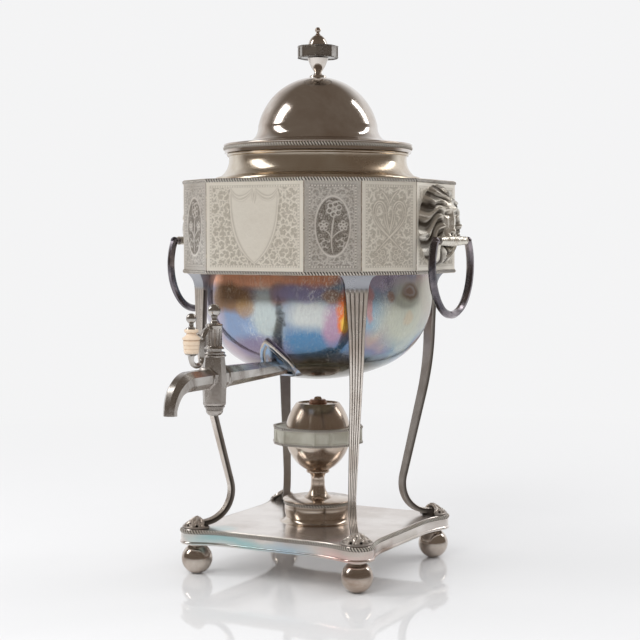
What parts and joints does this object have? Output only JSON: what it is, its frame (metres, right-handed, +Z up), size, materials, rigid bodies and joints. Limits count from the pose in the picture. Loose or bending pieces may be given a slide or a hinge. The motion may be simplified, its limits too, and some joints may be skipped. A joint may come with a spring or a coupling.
{
  "type": "tea urn",
  "caption": "Footed tea urn with a domed lid, engraved twelve-sided belt, lion-mask ring handles, a front tap with a lever key, and a spirit lamp under its bowl.",
  "frame": {"origin": "on the urn's vertical axis, in the plane of the surface that its four ball feet stand on", "axes": "+Z up; the tap points along -Y; the two ring handles hang at +X and -X"},
  "size_m": [0.2228, 0.2963, 0.4],
  "materials": {
    "base_silver": "polished silver plate on copper, faintly tarnished",
    "rope_silver": "cast rope-twist silver wire, tarnished in its grooves",
    "tap_silver": "cast and filed silver plate, darkly tarnished",
    "bowl_silver": "polished silver plate with an iridescent tarnish",
    "belt_silver": "engraved silver plate, pale and lightly tarnished",
    "lid_silver": "polished silver plate under an even brown tarnish",
    "ball_silver": "polished silver plate, tarnished brown",
    "leg_silver": "cast silver plate, tarnished in its grooves",
    "lion_silver": "chased casting, tarnished in its grooves",
    "ring_silver": "faceted drawn silver wire, darkly tarnished",
    "lamp_silver": "polished silver plate, tarnished bronze brown",
    "copper": "bare worn copper",
    "iron_stud": "plain threaded stud",
    "ivory": "turned and polished, with lathe rings",
    "wick_cotton": "braided cotton, scorched at the top"
  },
  "bodies": {
    "urn": {"base_plate": "base_silver", "base_border": "rope_silver", "ball_foot_front_right": "ball_silver", "ball_foot_back_right": "ball_silver", "ball_foot_back_left": "ball_silver", "ball_foot_front_left": "ball_silver", "foot_studs": "iron_stud", "leg_front_right": "leg_silver", "leg_back_right": "leg_silver", "leg_back_left": "leg_silver", "leg_front_left": "leg_silver", "paw_front_right": "leg_silver", "paw_back_right": "leg_silver", "paw_back_left": "leg_silver", "paw_front_left": "leg_silver", "lamp_drum": "base_silver", "lamp_drum_border": "rope_silver", "tap_shank": "tap_silver", "tap_strainer": "tap_silver", "bowl": "bowl_silver", "tap_escutcheon": "bowl_silver", "belt_wall": "belt_silver", "belt_floor": "belt_silver", "shoulder_plate": "belt_silver", "belt_top_border": "rope_silver", "belt_bottom_border": "rope_silver", "neck": "lid_silver", "tap_barrel": "tap_silver", "tap_spout": "tap_silver", "lion_mask_right": "lion_silver", "lion_mask_left": "lion_silver", "ring_bush_right": "ring_silver", "ring_bush_left": "ring_silver"},
    "lid": {"lid_shell": "lid_silver", "lid_border": "rope_silver", "lid_bezel": "lid_silver", "finial_stem": "lid_silver", "finial_band": "lid_silver", "finial_cap": "lid_silver", "finial_nut": "tap_silver"},
    "tap_key": {"tap_plug": "tap_silver", "plug_washer": "tap_silver", "plug_nut": "tap_silver", "key_lever": "tap_silver", "key_grip": "ivory", "key_grip_finial": "tap_silver", "key_post_finial": "tap_silver"},
    "ring_right": {"ring_handle_right": "ring_silver", "ring_pin_right": "ring_silver"},
    "ring_left": {"ring_handle_left": "ring_silver", "ring_pin_left": "ring_silver"},
    "lamp": {"lamp_foot": "lamp_silver", "lamp_bowl": "lamp_silver", "lamp_band": "lamp_silver", "lamp_dome": "lamp_silver", "lamp_collar": "copper"},
    "wick_holder": {"wick_holder": "copper", "wick": "wick_cotton"}
  },
  "joints": [
    {"name": "lid_lift", "type": "slide", "parent": "urn", "child": "lid", "axis": [0, 0, 1], "range_m": [0, 0.06]},
    {"name": "tap_key_turn", "type": "hinge", "parent": "urn", "child": "tap_key", "pos_m": [0, -0.1455, 0.153], "axis": [0, 0, 1], "continuous": true},
    {"name": "ring_right_swing", "type": "hinge", "parent": "urn", "child": "ring_right", "pos_m": [0.10754, 0, 0.243], "axis": [0, -1, 0], "range_deg": [-18, 188]},
    {"name": "ring_left_swing", "type": "hinge", "parent": "urn", "child": "ring_left", "pos_m": [-0.10754, 0, 0.243], "axis": [0, 1, 0], "range_deg": [-18, 188]},
    {"name": "lamp_lift", "type": "slide", "parent": "urn", "child": "lamp", "axis": [0, 0, 1], "range_m": [0, 0.007]},
    {"name": "wick_lift", "type": "slide", "parent": "lamp", "child": "wick_holder", "axis": [0, 0, 1], "range_m": [0, 0.005]}
  ]
}
